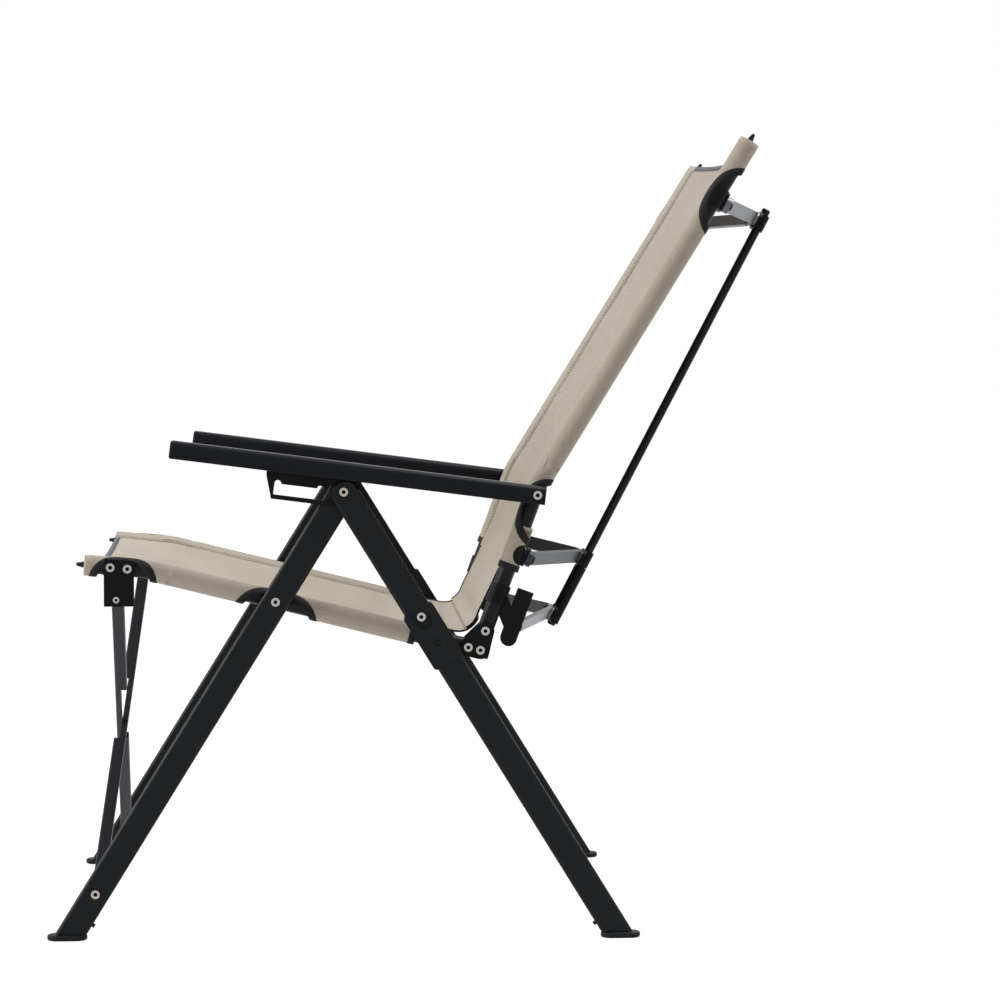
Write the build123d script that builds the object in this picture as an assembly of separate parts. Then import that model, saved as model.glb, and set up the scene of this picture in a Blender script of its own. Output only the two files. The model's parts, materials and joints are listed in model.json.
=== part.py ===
import os
from math import atan2, cos, degrees, radians, sin, sqrt, tan

from build123d import *

# Frame: X runs rearward, Z is up, the sitter's left is -Y. Sizes in millimetres, angles in degrees.

# Side frame
HINGE_HEIGHT = 538.0
LEG_LEAN = 31.7
LEG_WIDTH = 32.8
LEG_THICK = 13.0
LEG_CORNER = 4.5
LEG_WALL = 1.6
LEG_PLUG = 32.0
CROWN_DROP = 5.0
RIB_COUNT = 7
RIB_PITCH = 3.4
RIB_GROOVE = 1.3
RIB_DEPTH = 0.9
SEAT_PIVOT_DROP = 155.5
SLIDER_DROP = 211.0
BRACE_PIVOT_DROP = 567.0

# Feet
PAD_LENGTH = 48.0
PAD_WIDTH = 25.0
PAD_HEIGHT = 7.0
PAD_ROUND = 2.5
FOOT_PLUG = 40.0
FOOT_PLAY = 0.15
FOOT_BUTTON = 2.5
FOOT_BUTTON_RISE = 31.0
FOOT_BUTTON_PROUD = 3.0

# Slider on the rear leg
SLIDER_ABOVE = 46.0
SLIDER_BELOW = 29.0
SLIDER_WALL = 3.4
SLIDER_CORNER = 5.0
SLIDER_PLAY = 0.1
SLIDER_NOTCH_WIDTH = 20.0
SLIDER_NOTCH_DEPTH = 26.0
SLIDER_HOLE = 4.6
SLIDER_BOSS = 7.0
STOP_ABOVE = 35.4

# Tubes
TUBE_OFFSET = 255.5
TUBE_RADIUS = 10.0
TUBE_WALL = 1.5
SEAT_BEND = 155.6
SEAT_FRONT = 75.5
SEAT_FRONT_SLOPE = 5.1
SEAT_BEND_RADIUS = 150.0
SEAT_REAR = 265.0
BACK_PIVOT_ALONG = 253.8
BACK_PIVOT_UP = 24.0
BACK_LOWER = 188.0
BACK_LOWER_LEAN = 20.2
BACK_UPPER = 484.0
BACK_LEAN = 31.65
BACK_BEND_RADIUS = 160.0
BACK_TAIL = 8.0
CAP_FLANGE = 2.5
CAP_TIP_RADIUS = 4.0
CAP_TIP = 10.0
CAP_TAPER = 12.0
CAP_DEPTH = 14.0

# Layers across the chair, from the tubes outward
PLATE_THICK = 2.0
PLATE_SEAT = 0.05
SIDE_PLAY = 0.75
LAYER_PLAY = 0.7
ADJUSTER_THICK = 2.5

# Rivets and pins
RIVET_HEAD = 5.2
RIVET_HEAD_HIGH = 1.6
RIVET_EYE_SHARE = 0.46
RIVET_SHANK = 3.0
BRACE_RIVET_HEAD = 3.8
PIN_NECK = 1.6
NECK_SEAT = 4.0
FIT = 0.05
SEATED = 0.02

# Brackets on the seat tubes
HINGE_PLATE_ROUND = 11.0
HINGE_RIVETS = (238.4, 253.4)
BRACKET_X = -269.0
BRACKET_WIDTH = 36.0
BRACKET_DROP = 46.0
BRACKET_RIVET_GAP = 20.4
BRACE_TOP_X = -272.3
BRACE_TOP_Z = 407.9
BRACE_BOSS = 5.0

# Arms
ARM_ABOVE_PIVOT = 176.0
ARM_SLOPE = 7.2
ARM_LENGTH = 441.0
ARM_TAIL = 10.0
ARM_HEIGHT = 21.6
ARM_WIDTH = 33.0
ARM_GAP = 3.0
ARM_CROWN = 8.0
ARM_EDGE = 2.0
ARM_NOSE = 5.0
ARM_WALL = 3.0
ARM_END = 26.0
NOTCH_ANGLES = (0.0, 9.7, 29.6)
NOTCH_WIDTH = 8.0
NOTCH_LEAN = 5.0
PLATE_FRONT = 15.0
PLATE_REAR = 8.0
SLOT_TOP = 0.2
SLOT_BOTTOM = 13.5
SLOT_RIM = 5.5
POCKET_FRONT = 18.5
POCKET_REAR = 11.5
POCKET_TOP = 5.0
RIM_START = 6.5
PLATE_CHAMFER = 9.0

# Front brace
BRACE_SIDE = 240.0
BRACE_DEPTH = 15.0
BRACE_WIDTH = 9.0
BRACE_CORNER = 2.0
BRACE_TAIL = 6.0
BRACE_LAP_LOW = 38.0
BRACE_LAP_HIGH = 85.0
BRACE_LAP_GAP = 0.6
KNUCKLE_RADIUS = 9.0
KNUCKLE_INNER = 254.0
KNUCKLE_PLAY = 0.5
TONGUE_THICK = 6.0
TONGUE_PLAY = 0.35
TONGUE_ROUND = 6.5
FORK_DEPTH = 17.0

# Rear spine and its folding links
SPINE_TOP_X = 546.6
SPINE_TOP_Z = 885.0
SPINE_LEAN = 27.56
SPINE_RADIUS = 5.5
SPINE_HEAD = 8.0
SPINE_TAIL = 15.0
LINK_OUTER = 236.0
LINK_INNER = 17.0
LINK_RISE = 27.0
LINK_WIDTH = 17.0
LINK_THICK = 5.0
LINK_EYE = 10.0
LINK_HUB_EYE = 8.5
LINK_EYE_LONG = 8.0
LINK_HUB_LONG = 6.0
LINK_HUB_SET = 10.5
LINK_BAR_START = 6.5
LINK_BAR_END = 7.0
LINK_PLAY = 0.4
TOP_LINK_ALONG = 409.0
TOP_LINK_BEHIND = 19.0
MID_LINK_ALONG = 99.0
MID_LINK_BEHIND = 22.0
LOW_LINK_ALONG = 15.0
LOW_LINK_BEHIND = 36.0
LOW_CLAMP_ABOVE = 32.0
LOW_PLATE_TOP = 62.0
LOW_PLATE_BOTTOM = 1.0
LOW_PLATE_BEHIND = 30.0
LOW_PLATE_WIDTH = 20.0
CLAMP_WALL = 2.0
CLAMP_HEIGHT = 24.0
LUG_THICK = 4.0
LUG_HEIGHT = 24.0
LUG_ROUND = 6.0
WEB_HALF = 4.0
WEB_WIDTH = 18.0
HUB_PLATE = 3.5
HUB_HEIGHT = 22.0
HUB_COLLAR = 8.0
HUB_SIDE = 11.0
PIN_HEAD = 5.0
PIN_HEAD_HIGH = 2.0

# Sling
CLOTH = 1.6
SLEEVE_PLAY = 0.4
SAG = 22.0
SEAT_CLOTH_REAR = 172.0
BACK_CLOTH_START = 78.0
CLOTH_OVER = 2.5
CORNER_HALF = 232.0
CORNER_RADIUS = 50.0
ARCH_FRONT = 33.0
ARCH_PIVOT = 36.0
ARCH_DROP = 14.0
ARCH_INNER = 12.0
ARM_OPENING = 34.0
TOP_OPENING = 32.0
LOW_OPENING = 26.0


def point(x, z):
    return Vector(x, 0, z)


def lean(angle):
    """Upward direction that leans rearward by an angle from the vertical."""
    return Vector(sin(radians(angle)), 0, cos(radians(angle)))


def behind(direction):
    """Direction square to an upward one, on its rear side."""
    return Vector(direction.Z, 0, -direction.X)


def flat(v):
    return (v.X, v.Z)


def out(v, side):
    """A side-plane point moved to a distance from the middle plane, on the left."""
    return Vector(v.X, -side, v.Z)


# Side-plane points
HINGE = point(0, HINGE_HEIGHT)
FRONT_DOWN = lean(180 + LEG_LEAN)
REAR_DOWN = lean(180 - LEG_LEAN)
SEAT_PIVOT = HINGE + FRONT_DOWN * SEAT_PIVOT_DROP
SLIDER_PIVOT = HINGE + REAR_DOWN * SLIDER_DROP
SEAT_DIR = (SLIDER_PIVOT - SEAT_PIVOT).normalized()
SEAT_UP = Vector(-SEAT_DIR.Z, 0, SEAT_DIR.X)
SEAT_CORNER = SEAT_PIVOT - SEAT_DIR * SEAT_BEND
SEAT_TIP = SEAT_CORNER + lean(SEAT_FRONT_SLOPE - 90) * SEAT_FRONT
SEAT_END = SEAT_PIVOT + SEAT_DIR * SEAT_REAR
BACK_PIVOT = SEAT_PIVOT + SEAT_DIR * BACK_PIVOT_ALONG + SEAT_UP * BACK_PIVOT_UP
BACK_LOW = lean(BACK_LOWER_LEAN)
BACK_HIGH = lean(BACK_LEAN)
BACK_CORNER = BACK_PIVOT + BACK_LOW * BACK_LOWER
BACK_TOP = BACK_CORNER + BACK_HIGH * BACK_UPPER
ARM_PIVOT = BACK_PIVOT + BACK_LOW * ARM_ABOVE_PIVOT
ARM_DIR = lean(ARM_SLOPE - 90)
ARM_DOWN = Vector(-ARM_DIR.Z, 0, ARM_DIR.X)
BRACE_LOW = HINGE + FRONT_DOWN * BRACE_PIVOT_DROP
BRACE_TOP = point(BRACE_TOP_X, BRACE_TOP_Z)
SPINE_UP = lean(SPINE_LEAN)
SPINE_BACK = behind(SPINE_UP)
SPINE_TOP = point(SPINE_TOP_X, SPINE_TOP_Z)

# Layers
TUBE_FACE = TUBE_OFFSET + TUBE_RADIUS
PLATE_IN = TUBE_FACE + PLATE_SEAT
PLATE_OUT = PLATE_IN + PLATE_THICK
FRONT_IN = PLATE_OUT + SIDE_PLAY
FRONT_OUT = FRONT_IN + LEG_THICK
ADJUSTER_IN = FRONT_OUT + LAYER_PLAY
ADJUSTER_OUT = ADJUSTER_IN + ADJUSTER_THICK
REAR_IN = ADJUSTER_OUT + LAYER_PLAY
REAR_OUT = REAR_IN + LEG_THICK
ARM_IN = TUBE_FACE + ARM_GAP
ARM_OUT = ARM_IN + ARM_WIDTH
BOSS_INNER = BRACE_SIDE + BRACE_BOSS + BRACE_WIDTH / 2


def slab(face, inner, outer):
    """A side-plane face given a thickness across the chair, on the left."""
    return extrude(Plane.XZ.offset(inner) * face, outer - inner)


def pin(centre, radius, inner, outer):
    return slab(Pos(*flat(centre)) * Circle(radius), inner, outer)


def strip(start, end, width):
    """Face with round ends between two side-plane points."""
    run = end - start
    place = Pos(*flat((start + end) / 2)) * Rot(0, 0, degrees(atan2(run.Z, run.X)))
    return place * SlotCenterToCenter(run.length, width)


def bar_face(start, end, width):
    """Face with square ends between two side-plane points."""
    run = end - start
    place = Pos(*flat((start + end) / 2)) * Rot(0, 0, degrees(atan2(run.Z, run.X)))
    return place * Rectangle(run.length, width)


def rivet(centre, inner, outer, inner_head=True, head=RIVET_HEAD):
    """Tubular rivet along Y: a shank, a head at one end or both and a hollow outer end."""
    body = pin(centre, RIVET_SHANK, inner, outer)
    body += pin(centre, head, outer, outer + RIVET_HEAD_HIGH)
    if inner_head:
        body += pin(centre, head, inner - RIVET_HEAD_HIGH, inner)
    eye = pin(centre, head * RIVET_EYE_SHARE, outer - RIVET_HEAD_HIGH, outer + RIVET_HEAD_HIGH)
    return body - eye


def tube(points, bend_radius, side):
    """Bent round tube through side-plane points, at a distance from the middle plane."""
    path = FilletPolyline(*[out(p, side) for p in points], radius=bend_radius)
    frame = Plane(origin=path @ 0, z_dir=path % 0)
    whole = sweep(frame * Circle(TUBE_RADIUS), path=path)
    return whole - sweep(frame * Circle(TUBE_RADIUS - TUBE_WALL), path=path)


def tube_cap(end, direction):
    """Plug in a tube's end, with a flange and a small tip."""
    frame = Plane(origin=out(end, TUBE_OFFSET), z_dir=direction)
    stem = extrude(frame.offset(-CAP_DEPTH) * Circle(TUBE_RADIUS - TUBE_WALL - FIT), CAP_DEPTH)
    flange = extrude(frame * Circle(TUBE_RADIUS), CAP_FLANGE)
    tip = extrude(frame.offset(CAP_FLANGE) * Circle(CAP_TIP_RADIUS), CAP_TIP, taper=CAP_TAPER)
    return stem + flange + tip


def leg_frame(down, inner):
    """Plane across a leg at the top hinge: local X points outward."""
    middle = out(HINGE, inner + LEG_THICK / 2)
    return Plane(origin=middle, x_dir=(0, -1, 0), z_dir=down)


def leg_core(down, inner, start, length, play=0.0):
    """The hollow inside a leg, from a distance below the hinge."""
    thick = LEG_THICK - 2 * LEG_WALL - 2 * play
    width = LEG_WIDTH - 2 * LEG_WALL - 2 * play
    hollow = RectangleRounded(thick, width, LEG_CORNER - LEG_WALL)
    return extrude(leg_frame(down, inner).offset(start) * hollow, length)


def floor_cut(height):
    """Everything below a height."""
    big = 4 * HINGE_HEIGHT
    return Pos(0, 0, height - big / 2) * Box(big, big, big)


def leg(down, inner, bores):
    """Ribbed flat-oval leg, round at its top and cut level at its foot."""
    length = HINGE_HEIGHT / cos(radians(LEG_LEAN)) + LEG_WIDTH
    section = RectangleRounded(LEG_THICK, LEG_WIDTH, LEG_CORNER)
    for i in range(RIB_COUNT):
        place = Pos(LEG_THICK / 2, (i - (RIB_COUNT - 1) / 2) * RIB_PITCH)
        section -= place * Rectangle(2 * RIB_DEPTH, RIB_GROOVE)
    body = extrude(leg_frame(down, inner).offset(-LEG_WIDTH) * section, length + LEG_WIDTH)
    crown = HINGE + down * CROWN_DROP
    top = bar_face(crown, crown - down * 2 * LEG_WIDTH, 2 * LEG_WIDTH)
    top -= Pos(*flat(crown)) * Circle(LEG_WIDTH / 2 + SEATED)
    body -= slab(top, inner - LEG_THICK, inner + 2 * LEG_THICK)
    body -= leg_core(down, inner, LEG_PLUG, length)
    body -= floor_cut(PAD_HEIGHT)
    body -= foot_button(down, inner, FOOT_BUTTON + SEATED)
    for place, radius in bores:
        body -= pin(place, radius, inner - LEG_THICK, inner + 2 * LEG_THICK)
    return body


def foot_button(down, inner, radius):
    """Snap button of a foot, through the leg's edge that faces the other leg."""
    total = HINGE_HEIGHT / cos(radians(LEG_LEAN))
    place = out(HINGE + down * (total - FOOT_BUTTON_RISE), inner + LEG_THICK / 2)
    inward = down.cross(Vector(0, 1, 0)) * (-1 if down.X > 0 else 1)
    return extrude(Plane(origin=place, z_dir=inward) * Circle(radius), LEG_WIDTH / 2 + FOOT_BUTTON_PROUD)


def foot(down, inner):
    """Floor pad with a plug that goes up inside the leg and a snap button."""
    reach = HINGE_HEIGHT * tan(radians(LEG_LEAN)) * (1 if down.X > 0 else -1)
    place = Pos(reach, -inner - LEG_THICK / 2, 0)
    pad = extrude(place * SlotOverall(PAD_LENGTH, PAD_WIDTH), PAD_HEIGHT)
    pad = fillet(pad.edges().filter_by(Plane.XY), PAD_ROUND)
    total = HINGE_HEIGHT / cos(radians(LEG_LEAN))
    plug = leg_core(down, inner, total - FOOT_PLUG - PAD_HEIGHT, 2 * FOOT_PLUG, FOOT_PLAY)
    return pad + (plug - floor_cut(PAD_HEIGHT / 2)) + foot_button(down, inner, FOOT_BUTTON)


def slider():
    """Sleeve on the rear leg, with a notch for the stop and a boss toward the seat tube."""
    start = SLIDER_PIVOT - REAR_DOWN * SLIDER_ABOVE
    end = SLIDER_PIVOT + REAR_DOWN * SLIDER_BELOW
    inner = REAR_IN - (ADJUSTER_THICK + LAYER_PLAY)
    side = bar_face(start, end, LEG_WIDTH + 2 * SLIDER_WALL)
    body = slab(fillet(side.vertices(), SLIDER_CORNER), inner, REAR_OUT + SLIDER_WALL)
    bore = RectangleRounded(
        LEG_THICK + 2 * SLIDER_PLAY, LEG_WIDTH + 2 * SLIDER_PLAY, LEG_CORNER + SLIDER_PLAY
    )
    body -= extrude(leg_frame(REAR_DOWN, REAR_IN) * bore, 2 * SLIDER_DROP)
    notch = strip(start - REAR_DOWN * SLIDER_NOTCH_DEPTH,
                  start + REAR_DOWN * (SLIDER_NOTCH_DEPTH - SLIDER_NOTCH_WIDTH / 2),
                  SLIDER_NOTCH_WIDTH)
    body -= slab(notch, REAR_OUT - LEG_CORNER, REAR_OUT + 2 * SLIDER_WALL)
    body -= pin(SLIDER_PIVOT, SLIDER_HOLE, REAR_OUT, REAR_OUT + 2 * SLIDER_WALL)
    return body + pin(SLIDER_PIVOT, SLIDER_BOSS, TUBE_FACE + LAYER_PLAY, inner)


def hinge_plates():
    """The pair of plates that holds the back tube's foot at the rear of the seat tube."""
    spots = [SEAT_PIVOT + SEAT_DIR * along for along in HINGE_RIVETS] + [BACK_PIVOT]
    rims = [Pos(*flat(spot)) * Circle(HINGE_PLATE_ROUND) for spot in spots]
    face = make_hull([edge for rim in rims for edge in rim.edges()])
    plates = []
    for inner in (PLATE_IN, 2 * TUBE_OFFSET - PLATE_OUT):
        plate = slab(face, inner, inner + PLATE_THICK)
        plate -= pin(BACK_PIVOT, RIVET_SHANK + FIT, inner - PLATE_THICK, inner + 2 * PLATE_THICK)
        for spot in spots[:2]:
            reach = (inner - PLATE_THICK, inner + 2 * PLATE_THICK)
            plate -= pin(spot, RIVET_SHANK + SEATED, *reach)
        plates.append(plate)
    return plates


def bracket_rivets():
    """Where the front bracket is riveted to the seat tube's level front run."""
    front = (SEAT_TIP - SEAT_CORNER).normalized()
    middle = SEAT_CORNER + front * ((BRACKET_X - SEAT_CORNER.X) / front.X)
    return [middle - front * BRACKET_RIVET_GAP / 2, middle + front * BRACKET_RIVET_GAP / 2]


def front_bracket():
    """Plate that hangs from the front of the seat tube and carries the brace's top end."""
    first, second = bracket_rivets()
    middle = (first + second) / 2
    along = (second - first).normalized()
    low = middle - point(0, BRACKET_DROP)
    face = bar_face(middle, low, BRACKET_WIDTH)
    face += bar_face(middle - along * BRACKET_WIDTH / 2, middle + along * BRACKET_WIDTH / 2,
                     2 * TUBE_RADIUS)
    plate = slab(face, PLATE_IN, PLATE_OUT)
    plate += pin(BRACE_TOP, BRACE_BOSS, BOSS_INNER, PLATE_IN)
    for spot in (first, second, BRACE_TOP):
        plate -= pin(spot, RIVET_SHANK + SEATED, 0, PLATE_OUT + PLATE_THICK)
    return plate


def seat_rivets():
    """Rivets that join the two bracket pairs to the seat tube."""
    rear = [SEAT_PIVOT + SEAT_DIR * along for along in HINGE_RIVETS]
    inner = 2 * TUBE_OFFSET - PLATE_OUT
    group = [rivet(spot, inner, PLATE_OUT) for spot in rear]
    group += [rivet(spot, 2 * TUBE_OFFSET - TUBE_FACE, PLATE_OUT) for spot in bracket_rivets()]
    return group + [rivet(BRACE_TOP, BOSS_INNER, PLATE_OUT, inner_head=False, head=BRACE_RIVET_HEAD)]


def seat_tube():
    body = tube([SEAT_TIP, SEAT_CORNER, SEAT_END], SEAT_BEND_RADIUS, TUBE_OFFSET)
    holes = [SEAT_PIVOT + SEAT_DIR * along for along in HINGE_RIVETS] + bracket_rivets()
    for spot in holes + [SEAT_PIVOT]:
        body -= pin(spot, RIVET_SHANK + SEATED, 0, 2 * TUBE_OFFSET)
    return body


def back_tube():
    body = tube([BACK_PIVOT - BACK_LOW * BACK_TAIL, BACK_CORNER, BACK_TOP], BACK_BEND_RADIUS,
                TUBE_OFFSET)
    for spot in (BACK_PIVOT, ARM_PIVOT):
        body -= pin(spot, RIVET_SHANK + FIT, 0, 2 * TUBE_OFFSET)
    return body


def seat_pivot_pin():
    """Pin of the seat tube in the front leg, with a spacer between them."""
    body = rivet(SEAT_PIVOT, 2 * TUBE_OFFSET - TUBE_FACE, FRONT_OUT + LAYER_PLAY / 2)
    spacer = pin(SEAT_PIVOT, RIVET_HEAD, TUBE_FACE + PLATE_SEAT, FRONT_IN - LAYER_PLAY / 2)
    return body + spacer


def leg_pivot_pin():
    """Pin of the two legs: a headed half in each leg and the thin spindle that crosses the arm's plate."""
    inner = FRONT_IN - LAYER_PLAY / 2
    front_half = pin(HINGE, RIVET_SHANK, inner, FRONT_OUT + FIT)
    front_half += pin(HINGE, RIVET_HEAD, inner - RIVET_HEAD_HIGH, inner)
    rear_half = rivet(HINGE, REAR_IN - FIT, REAR_OUT, inner_head=False)
    start = FRONT_OUT - NECK_SEAT
    end = REAR_IN + NECK_SEAT
    socket = pin(HINGE, PIN_NECK + SEATED, start, end)
    spindle = pin(HINGE, PIN_NECK, start + SEATED, end - SEATED)
    return [front_half - socket, spindle, rear_half - socket]


def arm_section(height, width, crown, edge):
    """Arm section with a rounded top; local Y points down."""
    face = Rectangle(width, height)
    corners = face.vertices().sort_by(Axis.Y)
    face = fillet(corners[:2], crown)
    return fillet(face.vertices().sort_by(Axis.Y)[-2:], edge)


def armrest():
    """Moulded arm, hollow underneath, solid where the pin goes through."""
    middle = (ARM_IN + ARM_OUT) / 2
    frame = Plane(origin=out(ARM_PIVOT, middle), x_dir=(0, 1, 0), z_dir=ARM_DIR)
    section = arm_section(ARM_HEIGHT, ARM_WIDTH, ARM_CROWN, ARM_EDGE)
    body = extrude(frame.offset(-ARM_TAIL) * section, ARM_TAIL + ARM_LENGTH)
    body = fillet(body.faces().sort_by(Axis.X)[0].edges(), ARM_NOSE / 2)
    hollow = Pos(0, ARM_WALL) * Rectangle(ARM_WIDTH - 2 * ARM_WALL, ARM_HEIGHT)
    body -= extrude(frame.offset(ARM_END) * hollow, ARM_LENGTH - ARM_END - 2 * ARM_WALL)
    return body - pin(ARM_PIVOT, RIVET_SHANK + FIT, 0, 2 * ARM_OUT)


def in_arm(v):
    """A side-plane point as distances forward along the arm and below its middle line."""
    away = v - ARM_PIVOT
    return (away.dot(ARM_DIR), away.dot(ARM_DOWN))


def notch_forward(angle):
    """How far forward on the arm the leg pin sits when the back is let down by an angle."""
    radius = (ARM_PIVOT - BACK_PIVOT).length
    start = atan2(ARM_PIVOT.Z - BACK_PIVOT.Z, ARM_PIVOT.X - BACK_PIVOT.X)
    turned = start - radians(angle)
    pivot = BACK_PIVOT + Vector(cos(turned), 0, sin(turned)) * radius
    drop = in_arm(HINGE)[1]
    return sqrt((pivot - HINGE).length ** 2 - drop ** 2)


def adjuster_plate():
    """Plate under the arm with a slot and three notches for the leg pin, open at its rear."""
    frame = Plane(origin=ARM_PIVOT, x_dir=ARM_DIR, z_dir=(0, -1, 0))
    here, drop = in_arm(HINGE)
    notches = [notch_forward(angle) for angle in NOTCH_ANGLES]
    roof = ARM_WALL - ARM_HEIGHT / 2 + PLATE_SEAT
    front = notches[-1] + PLATE_FRONT
    rear = here - POCKET_REAR - PLATE_REAR
    low = drop + SLOT_BOTTOM + SLOT_RIM
    outline = Polyline(
        (rear, roof), (front, roof), (front, drop - PLATE_CHAMFER), (front - PLATE_CHAMFER, low),
        (here + RIM_START, low), (rear, drop + PLATE_REAR), close=True
    )
    face = make_face(outline)
    slot_front = notches[-1] + NOTCH_WIDTH / 2
    slot_middle = drop + (SLOT_TOP + SLOT_BOTTOM) / 2
    channel = Pos((here + slot_front) / 2, slot_middle)
    face -= channel * Rectangle(slot_front - here, SLOT_BOTTOM - SLOT_TOP)
    for forward in notches[1:]:
        seat = Vector(forward, drop)
        mouth = Vector(forward - NOTCH_LEAN, drop + SLOT_BOTTOM - NOTCH_WIDTH / 2)
        run = mouth - seat
        place = Pos((seat + mouth) / 2) * Rot(0, 0, degrees(atan2(run.Y, run.X)))
        face -= place * SlotCenterToCenter(run.length, NOTCH_WIDTH)
    pocket_low = low + SLOT_RIM
    pocket_top = drop - POCKET_TOP
    upper = Pos(here + (POCKET_FRONT - POCKET_REAR) / 2, (pocket_top + slot_middle) / 2)
    face -= upper * Rectangle(POCKET_FRONT + POCKET_REAR, slot_middle - pocket_top)
    lower = Pos(here + (RIM_START - POCKET_REAR) / 2, (pocket_top + pocket_low) / 2)
    face -= lower * Rectangle(RIM_START + POCKET_REAR, pocket_low - pocket_top)
    return extrude(frame.offset(ADJUSTER_IN) * face, ADJUSTER_THICK)


# Front brace, a pair of crossed bars in one leaning plane
BRACE_UP = (BRACE_TOP - BRACE_LOW).normalized()
BRACE_NORMAL = behind(BRACE_UP)
BRACE_RISE = (BRACE_TOP - BRACE_LOW).length
BRACE_LENGTH = sqrt(BRACE_RISE ** 2 + (2 * BRACE_SIDE) ** 2)


def brace_bar(lap_side):
    """Bar from the left foot end to the right seat end, half thick where the bars cross."""
    start = out(BRACE_LOW, BRACE_SIDE)
    end = out(BRACE_TOP, -BRACE_SIDE)
    frame = Plane(origin=start, x_dir=BRACE_NORMAL, z_dir=end - start)
    section = RectangleRounded(BRACE_DEPTH, BRACE_WIDTH, BRACE_CORNER)
    body = extrude(frame.offset(-BRACE_TAIL) * section, BRACE_LENGTH + 2 * BRACE_TAIL)
    lap = frame.offset(BRACE_LENGTH / 2 - BRACE_LAP_LOW)
    half = Pos(-lap_side * (BRACE_DEPTH - BRACE_LAP_GAP) / 2, 0)
    body -= extrude(lap * half * Rectangle(BRACE_DEPTH, 2 * BRACE_WIDTH), BRACE_LAP_LOW + BRACE_LAP_HIGH)
    gap = Rectangle(TONGUE_THICK + 2 * TONGUE_PLAY, 2 * BRACE_WIDTH)
    body -= extrude(frame.offset(-2 * BRACE_TAIL) * gap, FORK_DEPTH + 2 * BRACE_TAIL)
    across = Plane(origin=start, x_dir=(0, 1, 0), z_dir=BRACE_NORMAL)
    return body - extrude(across * Circle(RIVET_SHANK + FIT), BRACE_DEPTH, both=True)


def brace_knuckle():
    """Swivel on the front leg with a tongue and a cross pin for the brace bar's fork."""
    barrel = pin(BRACE_LOW, KNUCKLE_RADIUS, KNUCKLE_INNER, FRONT_IN - KNUCKLE_PLAY)
    barrel -= pin(BRACE_LOW, RIVET_SHANK + SEATED, KNUCKLE_INNER, FRONT_IN)
    centre = out(BRACE_LOW, (BRACE_SIDE + KNUCKLE_INNER) / 2)
    frame = Plane(origin=centre, x_dir=(0, 1, 0), z_dir=BRACE_NORMAL)
    tongue_face = SlotCenterToCenter(KNUCKLE_INNER - BRACE_SIDE, 2 * TONGUE_ROUND)
    tongue = extrude(frame * tongue_face, TONGUE_THICK / 2, both=True)
    tongue -= pin(BRACE_LOW, KNUCKLE_RADIUS + SEATED, KNUCKLE_INNER, FRONT_IN)
    across = Plane(origin=out(BRACE_LOW, BRACE_SIDE), x_dir=(0, 1, 0), z_dir=BRACE_NORMAL)
    cross = extrude(across * Circle(RIVET_SHANK), BRACE_DEPTH / 2 + LINK_PLAY, both=True)
    for end in (1, -1):
        face = across.offset(end * (BRACE_DEPTH / 2 + LINK_PLAY))
        cross += extrude(face * Circle(RIVET_HEAD), end * RIVET_HEAD_HIGH)
    return barrel + tongue + cross


def brace_rivet():
    """Rivet that holds the brace's swivel to the front leg."""
    return rivet(BRACE_LOW, KNUCKLE_INNER, FRONT_OUT + LAYER_PLAY / 2, inner_head=False)


def spine_point(side, along, back):
    return out(SPINE_TOP + SPINE_UP * along + SPINE_BACK * back, side)


# For each folding link: the tube's axis and direction there, the eye's offset, the clamp's shift
LINKS = {
    "top": (BACK_CORNER + BACK_HIGH * TOP_LINK_ALONG, BACK_HIGH, TOP_LINK_BEHIND, 0),
    "middle": (BACK_PIVOT + BACK_LOW * MID_LINK_ALONG, BACK_LOW, MID_LINK_BEHIND, 0),
    "bottom": (BACK_PIVOT + BACK_LOW * LOW_LINK_ALONG, BACK_LOW, LOW_LINK_BEHIND, LOW_CLAMP_ABOVE),
}


def link_place(name):
    """A link's distances along and behind the spine at its outer end."""
    axis, direction, offset, _ = LINKS[name]
    away = axis + behind(direction) * offset - SPINE_TOP
    return away.dot(SPINE_UP), away.dot(SPINE_BACK)


def spine_cylinder(side, along, back, radius, length):
    """Cylinder along the links' pivot direction, from a distance behind the spine."""
    frame = Plane(origin=spine_point(side, along, back), x_dir=(0, 1, 0), z_dir=SPINE_BACK)
    return extrude(frame * Circle(radius), length)


def link(name):
    """Flat bar with an eye at each end, from a back tube's bracket to the hub on the spine."""
    along, back = link_place(name)
    outer = spine_point(LINK_OUTER, along, back)
    inner = spine_point(LINK_INNER, along + LINK_RISE, -LINK_HUB_SET)
    run = inner - outer
    frame = Plane(origin=outer, x_dir=SPINE_BACK.cross(run), z_dir=run).offset(LINK_BAR_START)
    body = extrude(frame * Rectangle(LINK_WIDTH, LINK_THICK), run.length - LINK_BAR_START - LINK_BAR_END)
    outer_front = back - LINK_EYE_LONG / 2
    inner_front = -LINK_HUB_SET - LINK_HUB_LONG / 2
    body += spine_cylinder(LINK_OUTER, along, outer_front, LINK_EYE, LINK_EYE_LONG)
    body += spine_cylinder(LINK_INNER, along + LINK_RISE, inner_front, LINK_HUB_EYE, LINK_HUB_LONG)
    hole = RIVET_SHANK + FIT
    body -= spine_cylinder(LINK_OUTER, along, outer_front, hole, LINK_EYE_LONG)
    return body - spine_cylinder(LINK_INNER, along + LINK_RISE, inner_front, hole, LINK_HUB_LONG)


def low_plate():
    """Face of the upright plate behind the foot of a back tube, round at its lower end."""
    rear = BACK_PIVOT + behind(BACK_LOW) * LOW_PLATE_BEHIND
    low = rear + BACK_LOW * LOW_PLATE_BOTTOM
    face = bar_face(low, rear + BACK_LOW * LOW_PLATE_TOP, LOW_PLATE_WIDTH)
    return face + Pos(*flat(low)) * Circle(LOW_PLATE_WIDTH / 2)


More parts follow.
